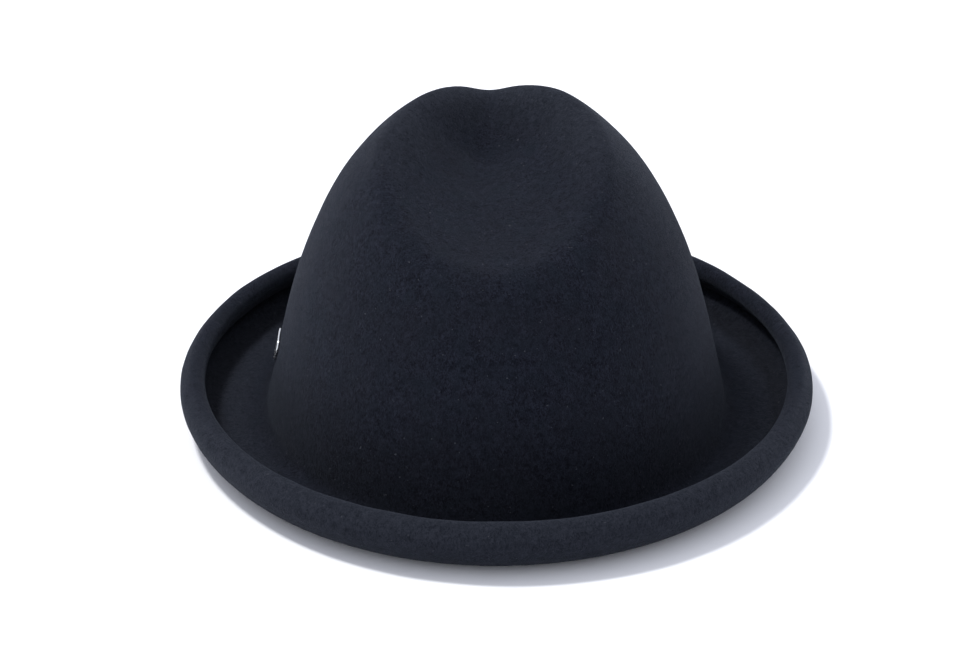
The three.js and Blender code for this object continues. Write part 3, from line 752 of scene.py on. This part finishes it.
def make_care_label():
    """A strip of satin tape folded in half. Its two ends are caught in the lining's seam and
    its fold hangs down."""
    low, high = (Vector(corner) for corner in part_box("care_label"))
    outline = care_label_outline(low, high)
    hang = np.clip((high.z - outline[:, 1]) / (high.z - low.z), 0, 1)
    rows = []
    for share in np.linspace(-1, 1, 40):
        curl = -CARE_LABEL_CURL * share**2 * hang
        x = np.full(len(outline), share * (high.x - low.x) / 2)
        rows.append(np.stack([x, outline[:, 0] + curl, outline[:, 1]], -1))
    rows = np.stack(rows)
    piece = closed_skin("care_label_blank", rows, tips=[rows[0].mean(0), rows[-1].mean(0)])
    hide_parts("care_label")
    return piece


# ---- Badge -------------------------------------------------------------------------------

def badge_frame():
    """Along the hat, up the wall and out of it, from the felt's outer face on the left."""
    climb, step = climb_at(BADGE_CENTRE_Z), 0.004
    below, place, above = (
        crown_points(np.array(climb + way * step), np.array(LEFT)) for way in (-1, 0, 1)
    )
    out = np.cross(above - below, [0, 1, 0])
    out /= np.linalg.norm(out)
    if out[0] > 0:
        out = -out
    along = np.array([0.0, -1.0, 0.0])
    return place + out * FELT / 2, along, np.cross(out, along), out


def plate_solid(length, height, corner, face):
    """A thin rounded plate as points and faces in its own frame. Face gives (share of the way
    to the edge, height above the felt) from the middle of the front to the middle of the back."""
    turns = np.arange(72) * TURN / 72
    x, y = squared_circle(turns, length / 2, height / 2, 2 / corner)
    rows = []
    for share, lift in face[1:-1]:
        rows.append(np.stack([x * share, y * share, np.full_like(x, lift)], -1))
    points = list(np.concatenate(rows))
    points += [np.array([0, 0, face[0][1]]), np.array([0, 0, face[-1][1]])]
    faces = grid_faces(len(rows), len(turns))
    first = len(rows) * len(turns)
    for c in range(len(turns)):
        d = (c + 1) % len(turns)
        faces.append((first, d, c))
        faces.append((first + 1, first - len(turns) + c, first - len(turns) + d))
    return points, faces


def badge_plate_solid():
    """The domed plate with its raised rim and flat back."""
    top = BADGE_LIFT + BADGE_THICKNESS
    face = [(share, top - depth) for share, depth in BADGE_DOME]
    face += [(1, BADGE_LIFT + 0.15 * MM), (0.985, BADGE_LIFT), (0.5, BADGE_LIFT), (0, BADGE_LIFT)]
    return plate_solid(BADGE_LENGTH, BADGE_HEIGHT, 3.2, face)


def badge_post_solids():
    """The two round posts that go through the felt."""
    head, end = BADGE_LIFT + 0.1 * MM, -BADGE_POST_DEPTH
    face = [(0, head), (0.8, head), (1, BADGE_LIFT), (1, end + 0.3 * MM), (0.7, end), (0, end)]
    solids = []
    for offset in BADGE_POST_PLACES:
        points, faces = plate_solid(BADGE_POST_WIDTH, BADGE_POST_WIDTH, 2, face)
        solids.append(([point + [offset, 0, 0] for point in points], faces))
    return solids


def make_badge():
    """A plain domed plate on two posts, bent to lie along the crown."""
    place, along, up, out = badge_frame()
    placed = []
    for points, faces in [badge_plate_solid(), *badge_post_solids()]:
        bent = []
        for x, y, z in points:
            bent.append(place + along * x + up * y + out * (z - x**2 / (2 * BADGE_BEND_RADIUS)))
        placed.append((bent, faces))
    piece = joined("badge_metal_plate", placed)
    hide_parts("badge_plate")
    return piece


# ---- Materials ---------------------------------------------------------------------------

class Look:
    """A node material being built, with short calls for the nodes that these looks share."""

    def __init__(self, name, **sockets):
        self.material = bpy.data.materials.new(name)
        self.material.use_nodes = True
        self.tree = self.material.node_tree
        self.shader = self.tree.nodes["Principled BSDF"]
        for label, value in sockets.items():
            self.shader.inputs[label.replace("_", " ")].default_value = value
        self.place = self.tree.nodes.new("ShaderNodeTexCoord").outputs["Object"]

    def node(self, kind, **settings):
        made = self.tree.nodes.new("ShaderNode" + kind)
        for label, value in settings.items():
            setattr(made, label, value)
        return made

    def link(self, out, into):
        self.tree.links.new(out, into)

    def noise(self, scale, detail, roughness, distortion=0.0, stretch=None, turn=None):
        """Noise in the object's own space, if wanted stretched and turned."""
        made = self.node("TexNoise")
        made.inputs["Scale"].default_value = scale
        made.inputs["Detail"].default_value = detail
        made.inputs["Roughness"].default_value = roughness
        made.inputs["Distortion"].default_value = distortion
        place = self.place
        if stretch or turn:
            mapping = self.node("Mapping")
            self.link(place, mapping.inputs["Vector"])
            mapping.inputs["Scale"].default_value = stretch or (1, 1, 1)
            mapping.inputs["Rotation"].default_value = turn or (0, 0, 0)
            place = mapping.outputs["Vector"]
        self.link(place, made.inputs["Vector"])
        return made.outputs["Fac"]

    def range(self, value, low, high, to_low=0.0, to_high=1.0):
        """A value carried from one range to another, and held at its ends."""
        made = self.node("MapRange")
        self.link(value, made.inputs["Value"])
        ends = {"From Min": low, "From Max": high, "To Min": to_low, "To Max": to_high}
        for label, number in ends.items():
            made.inputs[label].default_value = number
        return made.outputs["Result"]

    def math(self, operation, a, b=None, c=None):
        """A sum over values, which are sockets or numbers."""
        made = self.node("Math", operation=operation)
        for socket, value in zip(made.inputs, (a, b, c)):
            if isinstance(value, (int, float)):
                socket.default_value = value
            elif value is not None:
                self.link(value, socket)
        return made.outputs["Value"]

    def mix(self, share, a, b):
        """A colour between two colours, which are sockets or tuples."""
        made = self.node("Mix", data_type="RGBA")
        self.link(share, made.inputs[0])
        for socket, value in ((made.inputs[6], a), (made.inputs[7], b)):
            if isinstance(value, tuple):
                socket.default_value = (*value, 1)
            else:
                self.link(value, socket)
        return made.outputs[2]

    def product(self, *values):
        """Values multiplied together."""
        result = values[0]
        for value in values[1:]:
            result = self.math("MULTIPLY", result, value)
        return result

    def axis(self, name):
        made = self.node("SeparateXYZ")
        self.link(self.place, made.inputs[0])
        return made.outputs[name]

    def around(self, radius):
        """Distance round the hat, at a mean radius."""
        return self.math("MULTIPLY", self.math("ARCTAN2", self.axis("Y"), self.axis("X")), radius)

    def bands(self, distance, period):
        """A wave from 0 to 1 along a distance."""
        turn = self.math("MULTIPLY", distance, TURN / period)
        return self.math("MULTIPLY_ADD", self.math("SINE", turn), 0.5, 0.5)

    def cells(self, scale):
        """Distance from the middles of rounded cells."""
        made = self.node("TexVoronoi", feature="SMOOTH_F1")
        made.inputs["Scale"].default_value = scale
        self.link(self.place, made.inputs["Vector"])
        return made.outputs["Distance"]

    def colour(self, value):
        self.link(value, self.shader.inputs["Base Color"])

    def roughness(self, value):
        self.link(value, self.shader.inputs["Roughness"])

    def bump(self, height, distance, strength=1.0):
        made = self.node("Bump")
        made.inputs["Distance"].default_value = distance
        made.inputs["Strength"].default_value = strength
        self.link(height, made.inputs["Height"])
        self.link(made.outputs["Normal"], self.shader.inputs["Normal"])


def plan_share(look, x, y):
    """How far out a point lies in plan, squared: 1 where the brim's flat ends."""
    squares = []
    for place, half in ((x, BRIM_OVAL[0]), (y, BRIM_OVAL[1])):
        squares.append(look.math("POWER", look.product(place, 1 / half), 2))
    return look.math("ADD", *squares)


def painted_light_zones(look, plan, y, z):
    """Painted light: paler felt at the front of the rolled brim, the top of the crown and, less
    so, the brim's flats, for light the lamps don't give. Tuned to the photo's brightness; the
    cause isn't known."""
    beyond, front = look.range(plan, 0.97, 1.06), look.range(y, -25 * MM, -85 * MM)
    roll = look.product(beyond, front, look.range(z, 5 * MM, 17 * MM))
    crown = look.range(z, 106 * MM, 119 * MM, 0.0, 0.8)
    flat = look.product(look.range(plan, 0.78, 0.9), look.range(z, 8 * MM, 5 * MM), 0.55)
    return look.math("MAXIMUM", look.math("MAXIMUM", roll, crown), flat)


def painted_shade_zones(look, plan, z):
    """Painted shade, tuned in the same way: darker felt round the crown's foot, in the corner
    where shade falls, and low on the rolled brim near the floor."""
    foot = look.product(look.range(plan, 0.80, 0.66), look.range(z, 42 * MM, 8 * MM, 0.0, 0.62))
    under = look.product(look.range(plan, 0.97, 1.06), look.range(z, 10 * MM, 1 * MM, 0.0, 0.7))
    return look.math("MAXIMUM", foot, under)


def felt_look():
    """Dark blue-black felt: mottled fibres with a little pale lint, and painted light and shade in
    zones.
    """
    look = Look(
        "felt", Sheen_Weight=0.06, Sheen_Roughness=0.38, Sheen_Tint=(0.72, 0.81, 1.0, 1),
        Specular_IOR_Level=0.08,
    )
    fibres = look.noise(1500, 4, 0.65, 1.2, stretch=(1, 1, 0.55), turn=(0.5, 0.4, 0.8))
    clumps = look.noise(420, 3, 0.6, 0.8)
    blotches = look.noise(130, 3, 0.6, 0.4)
    clouds = look.noise(45, 2, 0.5)
    grain = look.math("MULTIPLY_ADD", fibres, 0.7, look.math("MULTIPLY", clumps, 0.3))
    share = look.range(grain, 0.40, 0.60)
    shade = look.mix(share, (0.0016, 0.0021, 0.0044), (0.0138, 0.0162, 0.0255))
    tinted = look.mix(look.range(blotches, 0.42, 0.68, 0.0, 0.5), shade, (0.0066, 0.0098, 0.0150))
    clouded = look.mix(look.range(clouds, 0.35, 0.7, 0.0, 0.3), tinted, (0.0085, 0.0090, 0.0126))
    x, y, z = (look.axis(name) for name in "XYZ")
    plan = plan_share(look, x, y)
    # Painted light: a paler copy of the felt colour, mixed in over the zones where light is
    # painted.
    painted_light_felt = look.mix(share, (0.0078, 0.0096, 0.0140), (0.0215, 0.0240, 0.0325))
    # Painted shade: a darker copy of the felt colour, mixed in over the zones where shade is
    # painted.
    painted_shade_felt = look.mix(share, (0.0012, 0.0014, 0.0024), (0.0062, 0.0066, 0.0090))
    toned = look.mix(painted_light_zones(look, plan, y, z), clouded, painted_light_felt)
    toned = look.mix(painted_shade_zones(look, plan, z), toned, painted_shade_felt)
    lint = look.range(look.noise(900, 1, 0.3), 0.765, 0.80)
    look.colour(look.mix(lint, toned, (0.040, 0.042, 0.050)))
    look.roughness(look.range(grain, 0.3, 0.7, 1.0, 0.82))
    look.bump(grain, 0.5 * MM, 1.0)
    return look.material


def cloth_look(name, dark, light, warp, weft, pitch, roughness, height, **sockets):
    """Woven cloth. Warp and weft name the directions that its threads are counted along:
    "around", "X", "Y" or "Z". Pitch has the distance between threads in each."""
    look = Look(name, **sockets)
    way = {"around": look.around(MID_HALF_WIDTH)}
    threads = []
    for direction, period in ((warp, pitch[0]), (weft, pitch[1])):
        distance = way.get(direction) or look.axis(direction)
        threads.append(look.bands(distance, period))
    weave = look.math("MULTIPLY", *threads)
    slubs = look.noise(700, 3, 0.6, stretch=(1, 1, 0.3))
    worn = look.noise(60, 2, 0.5)
    grain = look.math("MULTIPLY_ADD", weave, 0.55, look.math("MULTIPLY", slubs, 0.45))
    mixed = look.mix(look.range(grain, 0.15, 0.75), dark, light)
    faded = tuple(0.5 * (a + b) * 1.25 for a, b in zip(dark, light))
    look.colour(look.mix(look.range(worn, 0.45, 0.7, 0.0, 0.35), mixed, faded))
    look.roughness(look.range(worn, 0.3, 0.7, roughness - 0.06, roughness + 0.08))
    look.bump(grain, height)
    return look.material


def leather_look():
    """Dark brown grained leather, shinier towards its upper edge."""
    look = Look("sweatband_leather", Specular_IOR_Level=0.45)
    creases = look.cells(2300)
    wrinkles = look.noise(750, 4, 0.62, 0.7)
    clouds = look.noise(55, 3, 0.55)
    pebble = look.range(creases, 0.75, 0.1)
    grain = look.math("MULTIPLY_ADD", wrinkles, 0.9, pebble)
    hide = look.mix(look.range(clouds, 0.35, 0.7), (0.013, 0.0085, 0.0065), (0.030, 0.019, 0.014))
    look.colour(look.mix(look.range(pebble, 0.0, 0.6), (0.006, 0.004, 0.0035), hide))
    rub = look.math("MULTIPLY", look.noise(24, 3, 0.6), look.range(look.axis("Z"), 0.030, 0.037))
    shine = look.math("MULTIPLY_ADD", rub, -0.35, look.range(clouds, 0.3, 0.7, 0.58, 0.42))
    look.roughness(shine)
    look.bump(grain, 0.10 * MM, 0.6)
    return look.material


def reed_look():
    """Pale drawn plastic."""
    look = Look("reed_plastic", Specular_IOR_Level=0.5)
    drawn = look.noise(260, 3, 0.6, stretch=(0.2, 0.2, 3))
    look.colour(look.mix(look.range(drawn, 0.35, 0.65), (0.55, 0.51, 0.42), (0.68, 0.65, 0.56)))
    look.roughness(look.range(drawn, 0.3, 0.7, 0.38, 0.55))
    look.bump(drawn, 0.03 * MM)
    return look.material


def thread_look(name, dark, light):
    """Thread twisted from plies."""
    look = Look(name, Sheen_Weight=0.15, Sheen_Roughness=0.4)
    plies = look.noise(5200, 2, 0.5, stretch=(1, 1, 2.2), turn=(0.6, 0, 0.7))
    look.colour(look.mix(look.range(plies, 0.35, 0.65), dark, light))
    look.roughness(look.range(plies, 0.3, 0.7, 0.55, 0.75))
    look.bump(plies, 0.06 * MM)
    return look.material


def metal_look(name, colour, roughness):
    """Nickel-like metal with fine scratches along the hat and faint fingermarks."""
    look = Look(name, Metallic=1.0)
    brushed = look.noise(900, 4, 0.65, stretch=(1, 0.04, 1))
    marks = look.noise(320, 3, 0.5, 0.6)
    dull = tuple(0.86 * channel for channel in colour)
    look.colour(look.mix(look.range(marks, 0.4, 0.7), colour, dull))
    gloss = look.math("MULTIPLY_ADD", look.range(brushed, 0.3, 0.7), 0.14, roughness)
    look.roughness(look.math("MULTIPLY_ADD", look.range(marks, 0.5, 0.75), 0.1, gloss))
    look.bump(brushed, 0.01 * MM, 0.5)
    return look.material


# ---- Stage -------------------------------------------------------------------------------

def make_camera():
    """The view from the front and above. The hat stands a little low in the picture."""
    data = bpy.data.cameras.new("camera")
    camera = bpy.data.objects.new("camera", data)
    bpy.context.scene.collection.objects.link(camera)
    place, target = Vector(CAMERA_PLACE), Vector(CAMERA_TARGET)
    camera.location = place
    camera.rotation_euler = (target - place).to_track_quat("-Z", "Y").to_euler()
    data.lens = CAMERA_LENS
    data.sensor_width = CAMERA_SENSOR
    data.clip_end = 50
    bpy.context.scene.camera = camera


def make_key_light():
    """A small soft light, high on the hat's left."""
    data = bpy.data.lights.new("key", "AREA")
    data.shape = "DISK"
    data.size = KEY_SIZE
    data.energy = KEY_WATTS
    light = bpy.data.objects.new("key", data)
    light.location = KEY_PLACE
    light.rotation_euler = (-Vector(KEY_PLACE)).to_track_quat("-Z", "Y").to_euler()
    bpy.context.scene.collection.objects.link(light)


def make_world():
    """Even, slightly blue light from all round."""
    world = bpy.data.worlds.new("studio")
    world.use_nodes = True
    background = world.node_tree.nodes["Background"]
    background.inputs["Color"].default_value = SKY_COLOUR
    background.inputs["Strength"].default_value = SKY_STRENGTH
    bpy.context.scene.world = world


def make_floor():
    """A plain pale floor, just under the hat."""
    ways = ((-1, -1), (1, -1), (1, 1), (-1, 1))
    corners = [(FLOOR_HALF * x, FLOOR_HALF * y, -FLOOR_DROP) for x, y in ways]
    mesh = bpy.data.meshes.new("floor")
    mesh.from_pydata(corners, [], [(0, 1, 2, 3)])
    floor = bpy.data.objects.new("floor", mesh)
    bpy.context.scene.collection.objects.link(floor)
    look = Look("floor", Base_Color=(0.98, 0.98, 0.99, 1), Roughness=0.9, Specular_IOR_Level=0.1)
    mesh.materials.append(look.material)


def finish_piece(obj, material, body="hat"):
    """Gives a piece its material and slot, and puts it on the body that it moves with."""
    obj.data.materials.clear()
    obj.data.materials.append(material)
    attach(obj, body)


# ---- Scene -------------------------------------------------------------------------------

make_camera()
make_world()
make_key_light()
make_floor()
bpy.context.scene.view_settings.view_transform = "Standard"

felt = felt_look()
satin_side, satin_tip = (
    cloth_look(
        name, (0.010, 0.012, 0.020), (0.024, 0.028, 0.042), *threads, (0.5 * MM, 0.35 * MM),
        0.32, 0.05 * MM, Sheen_Weight=0.2, Sheen_Roughness=0.3, Anisotropic=0.4,
    )
    for name, threads in (("lining_satin_side", ("around", "Z")), ("lining_satin_tip", ("X", "Y")))
)
tape = cloth_look(
    "ribbed_tape", (0.006, 0.0065, 0.008), (0.020, 0.022, 0.028), "around", "Z",
    (0.7 * MM, 0.3 * MM), 0.7, 0.12 * MM, Sheen_Weight=0.15,
)
ribbon = cloth_look(
    "bow_grosgrain", (0.005, 0.0055, 0.008), (0.022, 0.024, 0.032), "X", "Z",
    (0.55 * MM, 0.22 * MM), 0.55, 0.15 * MM, Sheen_Weight=0.25, Sheen_Roughness=0.35,
)
label = cloth_look(
    "label_weave", (0.40, 0.39, 0.36), (0.62, 0.61, 0.57), "around", "Z",
    (0.36 * MM, 0.3 * MM), 0.6, 0.05 * MM, Sheen_Weight=0.1,
)
care_cloth = cloth_look(
    "care_label_weave", (0.48, 0.47, 0.45), (0.70, 0.69, 0.66), "X", "Z",
    (0.34 * MM, 0.28 * MM), 0.5, 0.04 * MM, Sheen_Weight=0.1,
)
dark_thread = thread_look("dark_thread", (0.012, 0.013, 0.016), (0.045, 0.047, 0.055))
pale_thread = thread_look("pale_thread", (0.30, 0.29, 0.27), (0.52, 0.51, 0.48))
nickel = metal_look("badge_nickel", (0.80, 0.81, 0.82), 0.16)
steel = metal_look("fixing_steel", (0.56, 0.57, 0.58), 0.34)

finish_piece(make_felt_body(), felt)
finish_piece(make_lining_side(), satin_side)
finish_piece(make_lining_tip(), satin_tip)
finish_piece(make_lining_cord(), satin_side)
finish_piece(make_sweatband(), leather_look())
finish_piece(make_reed(), reed_look())
finish_piece(make_reed_tape(), tape)
finish_piece(make_band_stitching(), dark_thread)
seam_tape, maker_label, size_label, label_thread, seam_thread = make_facings()
finish_piece(seam_tape, tape)
finish_piece(maker_label, label)
finish_piece(size_label, label)
finish_piece(label_thread, pale_thread)
finish_piece(seam_thread, dark_thread)
finish_piece(make_bow_loop(-1), ribbon)
finish_piece(make_bow_loop(1), ribbon)
finish_piece(make_bow_knot(), ribbon)
finish_piece(make_care_label(), care_cloth, body="care_label")
finish_piece(make_badge(), nickel)
for name in ("badge_back_plate", "badge_clip_front", "badge_clip_rear"):
    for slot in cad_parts[name].material_slots:
        slot.material = steel
